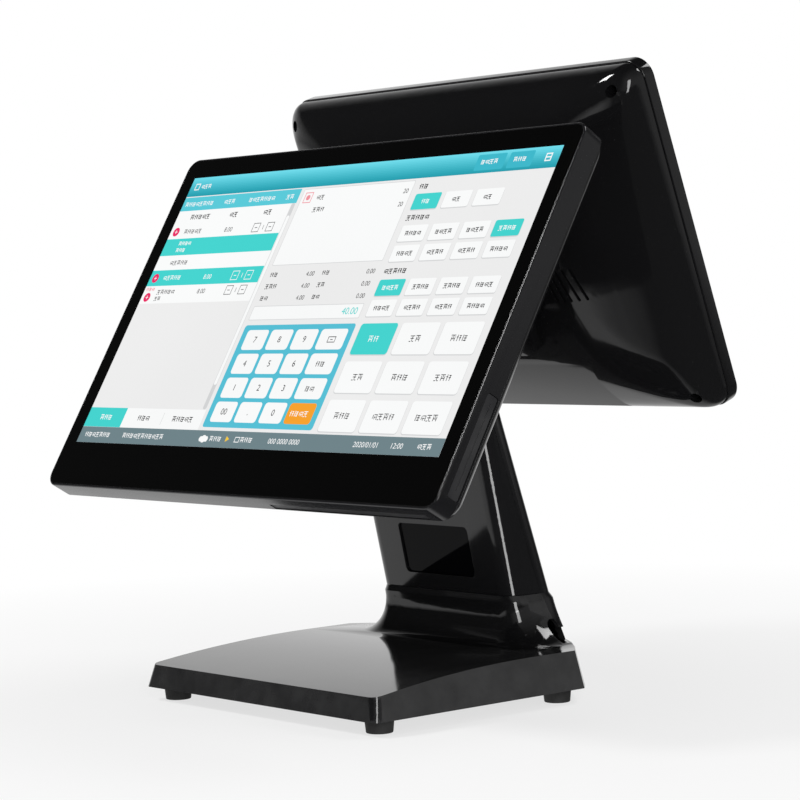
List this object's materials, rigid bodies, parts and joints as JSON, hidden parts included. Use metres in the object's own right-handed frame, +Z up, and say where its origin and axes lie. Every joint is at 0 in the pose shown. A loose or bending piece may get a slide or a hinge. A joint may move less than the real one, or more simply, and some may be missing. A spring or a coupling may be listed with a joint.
{
  "type": "pos touchscreen terminal",
  "caption": "Countertop checkout terminal: a wedge base with a leaning neck carries a cashier touchscreen and a customer display back to back, each on a friction tilt hinge.",
  "frame": {"origin": "on the counter, below the middle of the whole terminal", "axes": "+Z up; the cashier stands on the -Y side and the customer on the +Y side; +X is the cashier's right"},
  "size_m": [0.37, 0.2695, 0.3773],
  "materials": {
    "gloss_black_plastic": "piano black, high gloss",
    "window_plastic": "dark tinted, high gloss",
    "trim_plastic": "fine matt texture",
    "screen_glass": "polished, tinted black at its edge",
    "lcd_module": "flat panel module",
    "zinc_steel": "zinc plated sheet",
    "painted_steel": "black powder coat",
    "turned_steel": "turned and ground",
    "black_screws": "black oxide",
    "friction_disc": "satin bronze",
    "foot_rubber": "matt black",
    "circuit_board": "green solder mask",
    "chip_plastic": "moulded epoxy",
    "connector_metal": "nickel plated",
    "aluminium": "extruded"
  },
  "bodies": {
    "stand": {"ballast_bolts": "black_screws", "base_ballast": "painted_steel", "base_cover": "gloss_black_plastic", "base_plate": "painted_steel", "base_screws": "black_screws", "customer_hinge_nuts": "turned_steel", "customer_hinge_shaft": "turned_steel", "customer_spring_washers": "turned_steel", "hinge_yoke": "zinc_steel", "main_hinge_nuts": "turned_steel", "main_hinge_shaft": "turned_steel", "main_spring_washers": "turned_steel", "neck_cap": "gloss_black_plastic", "neck_cover_screws": "black_screws", "neck_frame": "zinc_steel", "neck_frame_bolts": "black_screws", "neck_front_shell": "gloss_black_plastic", "neck_rear_cover": "gloss_black_plastic", "neck_window": "window_plastic", "rubber_feet": "foot_rubber"},
    "main_display": {"board_chips": "chip_plastic", "bottom_port_cover": "trim_plastic", "button_spring": "turned_steel", "card_reader_cover": "trim_plastic", "cpu_heatsink": "aluminium", "io_connectors": "connector_metal", "main_bracket_screws": "black_screws", "main_chassis": "zinc_steel", "main_cover_screws": "black_screws", "main_friction_discs": "friction_disc", "main_front_frame": "gloss_black_plastic", "main_hinge_bracket": "zinc_steel", "main_hinge_cover": "gloss_black_plastic", "main_hinge_mount": "zinc_steel", "main_lcd_panel": "lcd_module", "main_rear_cover": "gloss_black_plastic", "main_speakers": "chip_plastic", "main_touch_glass": "screen_glass", "mainboard": "circuit_board", "memory_module": "circuit_board", "power_switch_board": "circuit_board", "storage_drive": "aluminium", "touch_controller_board": "circuit_board"},
    "customer_display": {"customer_bracket_screws": "black_screws", "customer_chassis": "zinc_steel", "customer_cover_glass": "screen_glass", "customer_cover_screws": "black_screws", "customer_driver_board": "circuit_board", "customer_friction_discs": "friction_disc", "customer_front_frame": "gloss_black_plastic", "customer_hinge_bracket": "zinc_steel", "customer_hinge_cover": "gloss_black_plastic", "customer_hinge_mount": "zinc_steel", "customer_lcd_panel": "lcd_module", "customer_rear_cover": "gloss_black_plastic", "customer_speakers": "chip_plastic"},
    "power_button": {"power_button": "trim_plastic"}
  },
  "joints": [
    {"name": "main_tilt", "type": "hinge", "parent": "stand", "child": "main_display", "pos_m": [0, -0.00244, 0.226], "axis": [1, 0, 0], "range_deg": [-10, 25]},
    {"name": "customer_tilt", "type": "hinge", "parent": "stand", "child": "customer_display", "pos_m": [0, 0.03356, 0.226], "axis": [-1, 0, 0], "range_deg": [-8, 19.5]},
    {"name": "power_press", "type": "slide", "parent": "main_display", "child": "power_button", "axis": [1, 0, 0], "range_m": [0, 0.0008], "stiffness_N_per_m": 800, "deforming": ["button_spring"]}
  ]
}
